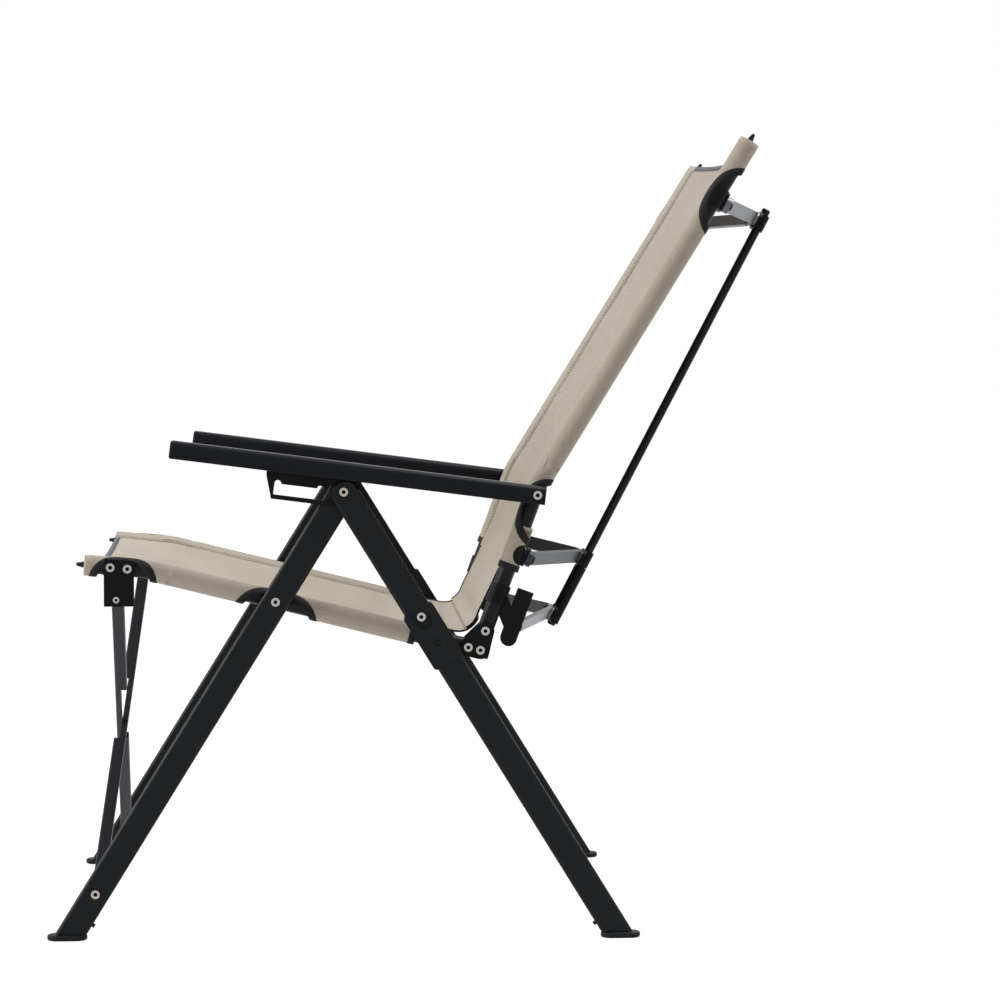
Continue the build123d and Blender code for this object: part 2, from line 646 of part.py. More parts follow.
def link_bracket(name):
    """Clamp on a back tube with a web, a lug and a pin for a link's outer eye."""
    axis, direction, offset, shift = LINKS[name]
    along, back = link_place(name)
    centre = axis + direction * shift
    frame = Plane(origin=out(centre, TUBE_OFFSET), x_dir=(0, 1, 0), z_dir=direction)
    body = extrude(frame * Circle(TUBE_RADIUS + CLAMP_WALL), CLAMP_HEIGHT / 2, both=True)
    lug_back = back - LINK_EYE_LONG / 2 - LINK_PLAY
    lug_width = TUBE_OFFSET + WEB_HALF - LINK_OUTER + LINK_EYE
    lug_side = LINK_OUTER - LINK_EYE + lug_width / 2
    lug_frame = Plane(origin=spine_point(lug_side, along, lug_back), x_dir=(0, 1, 0), z_dir=SPINE_BACK)
    body += extrude(lug_frame * RectangleRounded(lug_width, LUG_HEIGHT, LUG_ROUND), -LUG_THICK)
    lug_middle = SPINE_TOP + SPINE_UP * along + SPINE_BACK * (lug_back - LUG_THICK)
    web = bar_face(centre, lug_middle, WEB_WIDTH)
    if name == "bottom":
        web += low_plate()
    body += slab(web, TUBE_OFFSET - WEB_HALF, TUBE_OFFSET + WEB_HALF)
    body -= extrude(frame * Circle(TUBE_RADIUS + SEATED), 2 * CLAMP_HEIGHT, both=True)
    body += spine_cylinder(LINK_OUTER, along, lug_back - LUG_THICK / 2, RIVET_SHANK,
                           LUG_THICK / 2 + LINK_EYE_LONG + 2 * LINK_PLAY)
    head_back = back + LINK_EYE_LONG / 2 + LINK_PLAY
    return body + spine_cylinder(LINK_OUTER, along, head_back, PIN_HEAD, PIN_HEAD_HIGH)


def hub(name):
    """Block on the spine with a pin on each side for the links' inner eyes."""
    along = link_place(name)[0] + LINK_RISE
    plate_front = -LINK_HUB_SET + LINK_HUB_LONG / 2 + LINK_PLAY
    frame = Plane(origin=spine_point(0, along, plate_front), x_dir=(0, 1, 0), z_dir=SPINE_BACK)
    wide = 2 * (LINK_INNER + HUB_SIDE)
    body = extrude(frame * RectangleRounded(wide, HUB_HEIGHT, HUB_SIDE - FIT), HUB_PLATE)
    collar = Plane(origin=spine_point(0, along, 0), x_dir=(0, 1, 0), z_dir=SPINE_UP)
    reach = HUB_HEIGHT / 2
    if name == "bottom":
        reach = link_place("middle")[0] - link_place("bottom")[0] - HUB_HEIGHT / 2 - LINK_PLAY
    body += extrude(collar * Circle(HUB_COLLAR), HUB_HEIGHT / 2, both=True)
    body += extrude(collar * Circle(HUB_COLLAR), reach)
    body -= extrude(collar * Circle(SPINE_RADIUS + SEATED), reach + HUB_HEIGHT, both=True)
    for side in (LINK_INNER, -LINK_INNER):
        shank = LINK_HUB_LONG + 2 * LINK_PLAY + HUB_PLATE / 2
        body += spine_cylinder(side, along, plate_front + HUB_PLATE / 2, RIVET_SHANK, -shank)
        head = -LINK_HUB_SET - LINK_HUB_LONG / 2 - LINK_PLAY
        body += spine_cylinder(side, along, head, PIN_HEAD, -PIN_HEAD_HIGH)
    return body


def spine_rod():
    """Round rod behind the back, on the middle plane."""
    low = link_place("bottom")[0] + LINK_RISE - SPINE_TAIL
    high = link_place("top")[0] + LINK_RISE + HUB_HEIGHT / 2 + SPINE_HEAD
    frame = Plane(origin=spine_point(0, low, 0), x_dir=(0, 1, 0), z_dir=SPINE_UP)
    body = extrude(frame * Circle(SPINE_RADIUS), high - low)
    return chamfer(body.edges().filter_by(GeomType.CIRCLE), SPINE_RADIUS / 4)


def band_face():
    """Section of the cloth that sags between the tubes; local Y points to the sitter."""
    reach = TUBE_OFFSET - TUBE_RADIUS - SLEEVE_PLAY - CLOTH / 2
    top = ThreePointArc((-reach, CLOTH / 2), (0, CLOTH / 2 - SAG), (reach, CLOTH / 2))
    low = ThreePointArc((-reach, -CLOTH / 2), (0, -CLOTH / 2 - SAG), (reach, -CLOTH / 2))
    return make_face([top, low, Line(top @ 0, low @ 0), Line(top @ 1, low @ 1)])


def cloth_face():
    """Section of the sleeves round both tubes and the cloth between them."""
    hole = TUBE_RADIUS + SLEEVE_PLAY
    face = band_face()
    for side in (-TUBE_OFFSET, TUBE_OFFSET):
        face += Pos(side, 0) * Circle(hole + CLOTH)
        face -= Pos(side, 0) * Circle(hole)
    return face


def cloth(face, points, bend_radius):
    """A cloth section swept along a bent side-plane path."""
    path = FilletPolyline(*points, radius=bend_radius)
    frame = Plane(origin=path @ 0, x_dir=(0, 1, 0), z_dir=path % 0)
    return sweep(frame * face, path=path)


def both_sides(piece):
    return [piece, mirror(piece, about=Plane.XZ)]


def openings(spots, inner):
    """Round openings through the sleeves on both sides."""
    cuts = []
    for centre, radius in spots:
        cuts += both_sides(pin(centre, radius, inner, TUBE_OFFSET + 2 * TUBE_RADIUS))
    return cuts


def seat_sling():
    """Seat cloth from the front edge to the slider, open round the brackets and the pivots."""
    front = SEAT_TIP + (SEAT_TIP - SEAT_CORNER).normalized() * CLOTH_OVER
    rear = SEAT_PIVOT + SEAT_DIR * SEAT_CLOTH_REAR
    body = cloth(cloth_face(), [front, SEAT_CORNER, rear], SEAT_BEND_RADIUS)
    first, second = bracket_rivets()
    arch = (first + second) / 2 - point(0, ARCH_DROP)
    spots = [(arch, ARCH_FRONT), (SEAT_PIVOT - point(0, ARCH_DROP), ARCH_PIVOT)]
    for cut in openings(spots, TUBE_OFFSET - ARCH_INNER):
        body -= cut
    return body


def back_sling():
    """Back cloth from its top edge to the corner, then a narrower run round to the seat."""
    start = BACK_PIVOT + BACK_LOW * BACK_CLOTH_START
    end = BACK_TOP + BACK_HIGH * CLOTH_OVER
    body = cloth(cloth_face(), [start, BACK_CORNER, end], BACK_BEND_RADIUS)
    top_spot = LINKS["top"][0] + behind(BACK_HIGH) * ARCH_DROP
    spots = [(ARM_PIVOT, ARM_OPENING), (top_spot, TOP_OPENING), (LINKS["middle"][0], LOW_OPENING)]
    for cut in openings(spots, TUBE_OFFSET - ARCH_INNER):
        body -= cut
    rear = SEAT_PIVOT + SEAT_DIR * (SEAT_CLOTH_REAR + CLOTH)
    along = BACK_PIVOT_ALONG - BACK_PIVOT_UP * BACK_LOW.dot(SEAT_DIR) / BACK_LOW.dot(SEAT_UP)
    corner = SEAT_PIVOT + SEAT_DIR * along
    run = cloth(band_face(), [rear, corner, start + BACK_LOW * CLOTH], CORNER_RADIUS)
    big = 2 * HINGE_HEIGHT
    return body + (run & (Pos(0, 0, HINGE_HEIGHT) * Box(big, 2 * CORNER_HALF, big)))


def leg_parts():
    """The left legs with their feet, slider and pins."""
    loose = RIVET_SHANK + FIT
    tight = RIVET_SHANK + SEATED
    stop = SLIDER_PIVOT - REAR_DOWN * STOP_ABOVE
    front_bores = [(HINGE, loose), (SEAT_PIVOT, loose), (BRACE_LOW, loose)]
    return {
        "front_leg": leg(FRONT_DOWN, FRONT_IN, front_bores),
        "front_foot": foot(FRONT_DOWN, FRONT_IN),
        "rear_leg": leg(REAR_DOWN, REAR_IN, [(HINGE, tight), (stop, tight)]),
        "rear_foot": foot(REAR_DOWN, REAR_IN),
        "slider": slider(),
        "slide_stop": rivet(stop, REAR_IN, REAR_OUT, inner_head=False),
        "leg_pivot_pin": leg_pivot_pin(),
        "brace_knuckle": brace_knuckle(),
        "brace_rivet": brace_rivet(),
    }


def seat_parts():
    """The left seat tube with its brackets and pins."""
    return {
        "seat_tube": seat_tube(),
        "seat_cap": tube_cap(SEAT_TIP, SEAT_TIP - SEAT_CORNER),
        "front_bracket": front_bracket(),
        "hinge_plates": hinge_plates(),
        "seat_rivets": seat_rivets(),
        "seat_pivot_pin": seat_pivot_pin(),
    }


def back_parts():
    """The left back tube with its arm, pins, links and brackets."""
    return {
        "back_tube": back_tube(),
        "back_cap": tube_cap(BACK_TOP, BACK_HIGH),
        "back_pivot_pin": rivet(BACK_PIVOT, 2 * TUBE_OFFSET - PLATE_OUT - FIT, PLATE_OUT + FIT),
        "armrest": armrest(),
        "adjuster_plate": adjuster_plate(),
        "arm_pivot_pin": rivet(ARM_PIVOT, 2 * TUBE_OFFSET - TUBE_FACE - FIT, ARM_OUT + FIT),
        "top_link": link("top"),
        "middle_link": link("middle"),
        "bottom_link": link("bottom"),
        "link_brackets": [link_bracket(name) for name in LINKS],
    }


def middle_parts():
    """The rod behind the back with its hubs, and the two pieces of cloth."""
    return {
        "spine_rod": spine_rod(),
        "top_hub": hub("top"),
        "middle_hub": hub("middle"),
        "bottom_hub": hub("bottom"),
        "seat_sling": seat_sling(),
        "back_sling": back_sling(),
    }


def build():
    """Every node of the chair by name, as a list of solids, the right side mirrored."""
    nodes = {}
    for name, shape in (leg_parts() | seat_parts() | back_parts()).items():
        pieces = shape if isinstance(shape, list) else [shape]
        nodes[name + "_left"] = pieces
        nodes[name + "_right"] = [mirror(piece, about=Plane.XZ) for piece in pieces]
    nodes["brace_bar_left"] = [brace_bar(1)]
    nodes["brace_bar_right"] = [mirror(brace_bar(-1), about=Plane.XZ)]
    for name, shape in middle_parts().items():
        nodes[name] = [shape]
    return nodes


NODES = build()
LOW_X = min(piece.bounding_box().min.X for pieces in NODES.values() for piece in pieces)
HIGH_X = max(piece.bounding_box().max.X for pieces in NODES.values() for piece in pieces)
CENTRE = Pos(-(LOW_X + HIGH_X) / 2, 0, 0)

os.makedirs("parts", exist_ok=True)
for node_name, node_pieces in NODES.items():
    solids = [solid for piece in node_pieces for solid in (CENTRE * piece).solids()]
    export_step(Compound(solids) if len(solids) > 1 else solids[0], f"parts/{node_name}.step")
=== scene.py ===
import bpy
import bmesh
import json
import math
import numpy as np
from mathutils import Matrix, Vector

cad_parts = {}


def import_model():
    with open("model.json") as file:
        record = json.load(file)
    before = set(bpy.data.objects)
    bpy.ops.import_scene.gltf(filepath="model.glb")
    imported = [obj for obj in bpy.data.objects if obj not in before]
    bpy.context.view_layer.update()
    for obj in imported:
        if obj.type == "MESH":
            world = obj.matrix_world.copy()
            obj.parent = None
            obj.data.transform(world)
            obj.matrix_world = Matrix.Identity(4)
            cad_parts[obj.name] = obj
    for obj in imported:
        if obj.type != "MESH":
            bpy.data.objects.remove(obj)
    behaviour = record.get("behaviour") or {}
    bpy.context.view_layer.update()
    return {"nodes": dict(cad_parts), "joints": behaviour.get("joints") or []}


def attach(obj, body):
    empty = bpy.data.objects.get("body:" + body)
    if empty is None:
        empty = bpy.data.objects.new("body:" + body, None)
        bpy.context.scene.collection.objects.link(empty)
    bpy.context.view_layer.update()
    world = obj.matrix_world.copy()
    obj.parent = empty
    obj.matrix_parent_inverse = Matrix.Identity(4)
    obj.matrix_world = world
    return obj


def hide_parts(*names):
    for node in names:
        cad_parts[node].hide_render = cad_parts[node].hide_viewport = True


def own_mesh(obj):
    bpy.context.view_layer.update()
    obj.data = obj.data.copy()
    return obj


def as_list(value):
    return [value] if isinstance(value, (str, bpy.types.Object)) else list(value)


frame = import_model()
NODES = frame["nodes"]
JOINT = {j["name"]: j for j in frame["joints"]}


# Measures in metres, in the row frame
def place_of(joint):
    x, _, z = JOINT[joint]["pos_m"]
    return np.array([x, z])


def lean(angle):
    return np.array([math.sin(math.radians(angle)), math.cos(math.radians(angle))])


SEAT_PIVOT = place_of("seat_left_pivot")
BACK_PIVOT = place_of("back_left_fold")
ARM_PIVOT = place_of("arm_left_fold")

# Tubes under the cloth
TUBE_Y = 0.2555
SEAT_DIR = np.array([0.971205, -0.238249])
SEAT_BEND = 0.1556
SEAT_BEND_R = 0.150
SEAT_FRONT_RUN = 0.0755
SEAT_FRONT_SLOPE = 5.1
BACK_LOWER = 0.188
BACK_LOWER_LEAN = 20.2
BACK_UPPER = 0.484
BACK_LEAN = 31.65
BACK_BEND_R = 0.160
SEAT_FRONT = lean(SEAT_FRONT_SLOPE - 90)
BACK_LOW = lean(BACK_LOWER_LEAN)
BACK_HIGH = lean(BACK_LEAN)
SEAT_CORNER = SEAT_PIVOT - SEAT_DIR * SEAT_BEND
SEAT_TIP = SEAT_CORNER + SEAT_FRONT * SEAT_FRONT_RUN
BACK_CORNER = BACK_PIVOT + BACK_LOW * BACK_LOWER
BACK_TOP = BACK_CORNER + BACK_HIGH * BACK_UPPER

# Cloth: thickness, edges across the chair, and height of the seam above the tubes' middle
CLOTH_T = 0.0012
CLOTH_OVER = 0.0025
CORNER_R = 0.040
SEAM_Y = 0.2255
MAIN_Y = 0.2290
FLAP_Y = 0.2265
EDGE_N = 0.0048
SLEEVE_R = 0.0118

# Places along the cloth, measured from pivots and bends
SEAT_SLEEVE_PAST_PIVOT = 0.172
BACK_SLEEVE_RISE = 0.080
SPLIT_RISE = 0.012
MIDDLE_LINK_RISE = 0.099
TOP_LINK_RISE = 0.409
BRACKET_S = 0.041

# How the panels hang, and how they lap where seat and back meet
HANG = 0.022
HANG_LESS_FRONT = 0.012
HANG_LESS_TOP = 0.008
CORNER_EDGE_N = 0.012
CORNER_SAG = 0.004
CREASE_HEIGHT = 0.00035
LAP_LIFT = 0.00125
LAP_ABOVE = 0.0086
LAP_BELOW = 0.0186
PANEL_COLS = 61

# Tapes and stitches
ARCH_TAPE = 0.0085
END_TAPE = 0.007
HEM_TAPE = 0.0068
SIDE_TAPE = 0.008
TAPE_INSET = 0.0006
TAPE_GAP = 0.004
HEM_INSET = 0.001
STITCH_INSETS = (("a", 0.0035), ("b", 0.0075))
STITCH_SIDES = 5


# Node materials
def material(name, colour, rough, metal=0.0, specular=0.5):
    mat = bpy.data.materials.new(name)
    mat.use_nodes = True
    bsdf = mat.node_tree.nodes["Principled BSDF"]
    bsdf.inputs["Base Color"].default_value = (*colour, 1)
    bsdf.inputs["Roughness"].default_value = rough
    bsdf.inputs["Metallic"].default_value = metal
    bsdf.inputs["Specular IOR Level"].default_value = specular
    return mat, mat.node_tree, bsdf


def add(tree, kind, **values):
    node = tree.nodes.new(kind)
    for key, value in values.items():
        if key in node.inputs:
            node.inputs[key].default_value = value
        else:
            setattr(node, key, value)
    return node


def stretched(tree, scale, source="Object"):
    coords = add(tree, "ShaderNodeTexCoord")
    mapping = add(tree, "ShaderNodeMapping")
    mapping.inputs["Scale"].default_value = scale
    tree.links.new(coords.outputs[source], mapping.inputs["Vector"])
    return mapping.outputs["Vector"]


def tint(tree, bsdf, factor, dark, light):
    ramp = add(tree, "ShaderNodeValToRGB")
    ramp.color_ramp.elements[0].color = (*dark, 1)
    ramp.color_ramp.elements[1].color = (*light, 1)
    ramp.color_ramp.elements[0].position = 0.32
    ramp.color_ramp.elements[1].position = 0.68
    tree.links.new(factor, ramp.inputs["Fac"])
    tree.links.new(ramp.outputs["Color"], bsdf.inputs["Base Color"])


def bump(tree, bsdf, height, distance, strength=0.6):
    node = add(tree, "ShaderNodeBump", Strength=strength, Distance=distance)
    tree.links.new(height, node.inputs["Height"])
    tree.links.new(node.outputs["Normal"], bsdf.inputs["Normal"])


def mixed(tree, first, second, share):
    both = add(tree, "ShaderNodeMix", data_type="FLOAT")
    both.inputs[0].default_value = share
    tree.links.new(first, both.inputs[2])
    tree.links.new(second, both.inputs[3])
    return both.outputs[0]


def brushed(name, dark, light, rough, metal, scale, specular=0.5):
    """Metal with fine lines along one direction and a faint change of tone."""
    mat, tree, bsdf = material(name, light, rough, metal, specular)
    lines = add(tree, "ShaderNodeTexNoise", Scale=1.0, Detail=4.0)
    tree.links.new(stretched(tree, scale), lines.inputs["Vector"])
    cloudy = add(tree, "ShaderNodeTexNoise", Scale=9.0, Detail=3.0)
    tree.links.new(stretched(tree, (1, 1, 1)), cloudy.inputs["Vector"])
    tint(tree, bsdf, mixed(tree, lines.outputs["Fac"], cloudy.outputs["Fac"], 0.45), dark, light)
    bump(tree, bsdf, lines.outputs["Fac"], 0.00006)
    return mat


def grained(name, dark, light, rough, scale, depth, specular=0.5):
    """Moulded or powder-coated surface with a fine even grain."""
    mat, tree, bsdf = material(name, light, rough, 0.0, specular)
    grain = add(tree, "ShaderNodeTexNoise", Scale=scale, Detail=6.0)
    tree.links.new(stretched(tree, (1, 1, 1)), grain.inputs["Vector"])
    cloudy = add(tree, "ShaderNodeTexNoise", Scale=14.0, Detail=2.0)
    tree.links.new(stretched(tree, (1, 1, 1)), cloudy.inputs["Vector"])
    tint(tree, bsdf, cloudy.outputs["Fac"], dark, light)
    bump(tree, bsdf, grain.outputs["Fac"], depth)
    return mat


def woven(name, dark, light, rough, pitch, sheen):
    """Plain weave on the cloth's own flat coordinates, with slub and faint soiling."""
    mat, tree, bsdf = material(name, light, rough, 0.0, 0.2)
    bsdf.inputs["Sheen Weight"].default_value = sheen
    bsdf.inputs["Sheen Roughness"].default_value = 0.6
    warp = add(tree, "ShaderNodeTexWave", Scale=0.5 / pitch / math.pi, Distortion=0.0)
    weft = add(tree, "ShaderNodeTexWave", Scale=0.5 / pitch / math.pi, Distortion=0.0)
    weft.bands_direction = "Y"
    flat_coords = stretched(tree, (1, 1, 1), "UV")
    tree.links.new(flat_coords, warp.inputs["Vector"])
    tree.links.new(flat_coords, weft.inputs["Vector"])
    over = add(tree, "ShaderNodeMath", operation="MULTIPLY")
    tree.links.new(warp.outputs["Fac"], over.inputs[0])
    tree.links.new(weft.outputs["Fac"], over.inputs[1])
    slub = add(tree, "ShaderNodeTexNoise", Scale=1.0, Detail=5.0)
    tree.links.new(stretched(tree, (700, 60, 1), "UV"), slub.inputs["Vector"])
    cloudy = add(tree, "ShaderNodeTexNoise", Scale=7.0, Detail=4.0)
    tree.links.new(stretched(tree, (1, 1, 1), "UV"), cloudy.inputs["Vector"])
    tint(tree, bsdf, mixed(tree, slub.outputs["Fac"], cloudy.outputs["Fac"], 0.5), dark, light)
    bump(tree, bsdf, over.outputs[0], pitch * 0.35, 0.5)
    return mat


LEG = brushed(
    "anodised_leg", (0.0045, 0.0060, 0.0075), (0.0080, 0.0100, 0.0120), 0.34, 0.0, (1600, 1600, 12), 0.14)
TUBE = brushed(
    "anodised_tube", (0.0030, 0.0040, 0.0048), (0.0058, 0.0070, 0.0080), 0.32, 0.0, (900, 900, 30), 0.14)
ARM = brushed(
    "anodised_arm", (0.0020, 0.0026, 0.0042), (0.0045, 0.0058, 0.0088), 0.36, 0.0, (14, 1500, 1500), 0.12)
BRACE = brushed(
    "anodised_brace", (0.016, 0.018, 0.023), (0.026, 0.029, 0.037), 0.38, 0.0, (900, 20, 20), 0.15)
STEEL = brushed("plated_rivet", (0.33, 0.31, 0.28), (0.50, 0.48, 0.44), 0.30, 1.0, (600, 600, 600))
LINK = brushed(
    "brushed_link", (0.100, 0.110, 0.126), (0.165, 0.178, 0.198), 0.36, 0.6, (900, 12, 900))
SLATE = brushed(
    "slate_link", (0.034, 0.039, 0.047), (0.054, 0.061, 0.071), 0.40, 0.3, (900, 12, 900), 0.2)
PLASTIC = grained(
    "moulded_nylon", (0.0038, 0.0050, 0.0058), (0.0070, 0.0086, 0.0098), 0.48, 1800.0, 0.00012, 0.14)
PLATE = grained(
    "powder_plate", (0.0016, 0.0017, 0.0020), (0.0032, 0.0034, 0.0038), 0.42, 1300.0, 0.00008, 0.10)
TAN = woven("tan_canvas", (0.335, 0.285, 0.225), (0.430, 0.376, 0.308), 0.85, 0.0011, 0.2)
TAPE = woven(
    "black_tape", (0.0050, 0.0052, 0.0062), (0.0100, 0.0104, 0.0120), 0.8, 0.0009, 0.04)
GREY_TAPE = woven("grey_tape", (0.060, 0.066, 0.078), (0.092, 0.100, 0.115), 0.8, 0.0009, 0.15)
THREAD = grained("sewing_thread", (0.24, 0.20, 0.15), (0.31, 0.26, 0.20), 0.8, 2500.0, 0.00005)
# Near-black material for the cups in the rivet eyes: painted shade inside the hollows
SHADE = grained(
    "painted_rivet_hollow_shade", (0.003, 0.003, 0.003), (0.005, 0.005, 0.005), 0.9, 900.0, 0.00002, 0.1)

LOOKS = [
    ("pivot_pin", STEEL), ("rivet", STEEL), ("slide_stop", STEEL), ("front_leg", LEG), ("rear_leg", LEG),
    ("foot", PLASTIC), ("slider", PLASTIC), ("cap", PLASTIC), ("armrest", ARM), ("adjuster", PLATE),
    ("bracket", PLATE), ("hinge_plates", PLATE), ("tube", TUBE), ("brace", BRACE), ("middle_link", SLATE),
    ("link", LINK), ("hub", PLATE), ("rod", TUBE), ("sling", TAN),
]
for node_name, node in NODES.items():
    look = next(mat for key, mat in LOOKS if key in node_name)
    node.data.materials.clear()
    node.data.materials.append(look)


# The sling's path in the side plane
class Run:
    """A side-plane path through points with round corners; gives place, and the direction to the sitter."""

    def __init__(self, points, radii, step=0.001):
        rows = [np.array(points[0], float)]
        for before, corner, after, radius in zip(points, points[1:], points[2:], radii):
            a = (before - corner) / np.linalg.norm(before - corner)
            b = (after - corner) / np.linalg.norm(after - corner)
            half = math.acos(np.clip(a @ b, -1, 1)) / 2
            reach = radius / math.tan(half)
            middle = (a + b) / np.linalg.norm(a + b)
            centre = corner + middle * radius / math.sin(half)
            start, end = corner + a * reach - centre, corner + b * reach - centre
            turn = math.atan2(start[0] * end[1] - start[1] * end[0], start @ end)
            for share in np.linspace(0, 1, 49):
                c, s = math.cos(turn * share), math.sin(turn * share)
                rows.append(centre + np.array([c * start[0] - s * start[1], s * start[0] + c * start[1]]))
        rows.append(np.array(points[-1], float))
        rows = np.array(rows)
        gaps = np.r_[0, np.cumsum(np.linalg.norm(np.diff(rows, axis=0), axis=1))]
        self.length = gaps[-1]
        self.s = np.linspace(0, self.length, int(self.length / step) + 2)
        self.p = np.stack([np.interp(self.s, gaps, rows[:, i]) for i in (0, 1)], 1)
        t = np.gradient(self.p, axis=0)
        t /= np.linalg.norm(t, axis=1)[:, None]
        self.n = np.stack([-t[:, 1], t[:, 0]], 1)

    def at(self, s):
        p = np.stack([np.interp(s, self.s, self.p[:, i]) for i in (0, 1)], -1)
        n = np.stack([np.interp(s, self.s, self.n[:, i]) for i in (0, 1)], -1)
        return p, n / np.linalg.norm(n, axis=-1)[..., None]

    def nearest(self, point, rise=0.0):
        return self.s[np.argmin(np.linalg.norm(self.p + self.n * rise - point, axis=1))]


def crossing(p, u, q, v):
    """Where two lines in the side plane meet."""
    share = np.linalg.solve(np.stack([u, -v], 1), q - p)
    return p + u * share[0]


KINK = crossing(SEAT_PIVOT, SEAT_DIR, BACK_PIVOT, BACK_LOW)
RUN = Run(
    [SEAT_TIP + SEAT_FRONT * CLOTH_OVER, SEAT_CORNER, KINK, BACK_CORNER, BACK_TOP + BACK_HIGH * CLOTH_OVER],
    [SEAT_BEND_R, CORNER_R, BACK_BEND_R])
CORNER_REACH = CORNER_R / math.tan(math.acos(np.clip(-SEAT_DIR @ BACK_LOW, -1, 1)) / 2)
PIVOT_S = RUN.nearest(SEAT_PIVOT)
SEAT_END_S = PIVOT_S + SEAT_SLEEVE_PAST_PIVOT
CORNER_S = RUN.nearest(KINK - SEAT_DIR * CORNER_REACH)
CORNER_E = RUN.nearest(KINK + BACK_LOW * CORNER_REACH)
SPLIT_S = RUN.nearest(BACK_PIVOT, SPLIT_RISE)
BACK_START_S = RUN.nearest(BACK_PIVOT + BACK_LOW * BACK_SLEEVE_RISE)
MIDDLE_LINK_S = RUN.nearest(BACK_PIVOT + BACK_LOW * MIDDLE_LINK_RISE)
ARM_S = RUN.nearest(ARM_PIVOT)
TOP_LINK_S = RUN.nearest(BACK_CORNER + BACK_HIGH * TOP_LINK_RISE)
TOP_S = RUN.length


def world(s, y, n):
    """Row-frame points from a place along the run, across the chair and toward the sitter."""
    p, up = RUN.at(s)
    flat = p + up * np.asarray(n)[..., None]
    return np.stack([flat[..., 0], np.broadcast_to(y, flat[..., 0].shape), flat[..., 1]], -1)


# Mesh helpers
def mesh_object(name, verts, faces, mat, uvs=None, smooth=True):
    mesh = bpy.data.meshes.new(name)
    mesh.from_pydata([tuple(v) for v in verts], [], faces)
    if uvs is not None:
        layer = mesh.uv_layers.new(name="flat")
        for loop in mesh.loops:
            layer.data[loop.index].uv = uvs[loop.vertex_index]
    obj = bpy.data.objects.new(name, mesh)
    bpy.context.scene.collection.objects.link(obj)
    mesh.materials.append(mat)
    for polygon in mesh.polygons:
        polygon.use_smooth = smooth
    return obj


def thicken(obj, thickness):
    """Gives a single-layer sheet its thickness, evenly on both sides."""
    solid = obj.modifiers.new("thick", "SOLIDIFY")
    solid.thickness = thickness
    solid.offset = 0
    bpy.context.view_layer.update()
    done = bpy.data.meshes.new_from_object(obj.evaluated_get(bpy.context.evaluated_depsgraph_get()))
    obj.modifiers.clear()
    obj.data = done
    return obj


def grid_faces(rows, cols, skip=()):
    skip = set(skip)
    return [
        (r * cols + c, r * cols + c + 1, (r + 1) * cols + c + 1, (r + 1) * cols + c)
        for r in range(rows - 1) for c in range(cols - 1) if (r, c) not in skip
    ]


def flat_area(s, a, faces):
    """Area of the faces on the cloth's flat pattern."""
    x, y = np.asarray(s).ravel(), np.asarray(a).ravel()
    total = 0.0
    for f in faces:
        px, py = x[list(f)], y[list(f)]
        total += abs(np.dot(px, np.roll(py, -1)) - np.dot(py, np.roll(px, -1))) / 2
    return float(total)


def smooth_step(x, low, high):
    t = np.clip((x - low) / (high - low), 0, 1)
    return t * t * (3 - 2 * t)


# The sling's panels between the tubes
def corner_share(s):
    """One where the cloth turns up from the seat to the back, none where it hangs from the sleeves."""
    return smooth_step(s, SEAT_END_S - 0.035, CORNER_S) * (1 - smooth_step(s, CORNER_E, BACK_START_S + 0.04))


def crease(s, y):
    """Shallow drag lines, the same each run."""
    lines = 0.0
    for k in range(5):
        a, b, c = math.sin(1.3 + 3.1 * k), math.cos(2.2 + 2.3 * k), math.sin(1.2 + 4.7 * k)
        lines = lines + np.sin(38 * (1 + 0.5 * a) * s + 26 * b * y + 5 * c) * CREASE_HEIGHT
    return lines * np.clip(1.25 - np.abs(y) / SEAM_Y, 0, 1)


def panel_rise(s, y):
    """Height of the cloth toward the sitter: it hangs between the seams."""
    s, y = np.asarray(s, float), np.asarray(y, float)
    hang = HANG - HANG_LESS_FRONT * (1 - smooth_step(s, 0.0, 0.12))
    hang = hang - HANG_LESS_TOP * smooth_step(s, TOP_S - 0.14, TOP_S)
    turn = corner_share(s)
    edge = EDGE_N + (CORNER_EDGE_N - EDGE_N) * turn
    sag = hang * (1 - turn) - CORNER_SAG * turn
    return edge - (edge + sag) * (1 - (np.abs(y) / SEAM_Y) ** 2) + crease(s, y)


def seat_lift(s):
    return -LAP_LIFT * smooth_step(s, SPLIT_S - 0.05, SPLIT_S - 0.02)


def back_lift(s):
    return LAP_LIFT * (1 - smooth_step(s, SPLIT_S + 0.012, SPLIT_S + 0.04))


def panel_half(s):
    """Half width of a panel: a little less where no sleeve holds it."""
    past_seat = smooth_step(s, SEAT_END_S, SEAT_END_S + 0.02)
    before_back = 1 - smooth_step(s, BACK_START_S - 0.02, BACK_START_S)
    return MAIN_Y - (MAIN_Y - FLAP_Y) * past_seat * before_back


def panel(name, rows, lift):
    """One panel of cloth as a thick mesh, with its flat size and area from true lengths."""
    s = np.repeat(rows[:, None], PANEL_COLS, 1)
    y = np.linspace(-1, 1, PANEL_COLS)[None, :] * panel_half(rows)[:, None]
    points = world(s, y, panel_rise(s, y) + lift(s))
    along = np.linalg.norm(np.diff(points, axis=0), axis=2).mean(1)
    across = np.linalg.norm(np.diff(points, axis=1), axis=2)
    flat_s = np.repeat(np.r_[0, np.cumsum(along)][:, None], PANEL_COLS, 1)
    flat_a = np.hstack([np.zeros((len(rows), 1)), np.cumsum(across, 1)])
    flat_a -= flat_a[:, -1:] / 2
    faces = grid_faces(len(rows), PANEL_COLS)
    uvs = np.stack([flat_a.ravel(), flat_s.ravel()], 1)
    obj = mesh_object(name, points.reshape(-1, 3), faces, TAN, uvs)
    area = flat_area(flat_s, flat_a, faces)
    thicken(obj, CLOTH_T)
    return obj, (float(2 * flat_a.max()), float(flat_s.max())), area


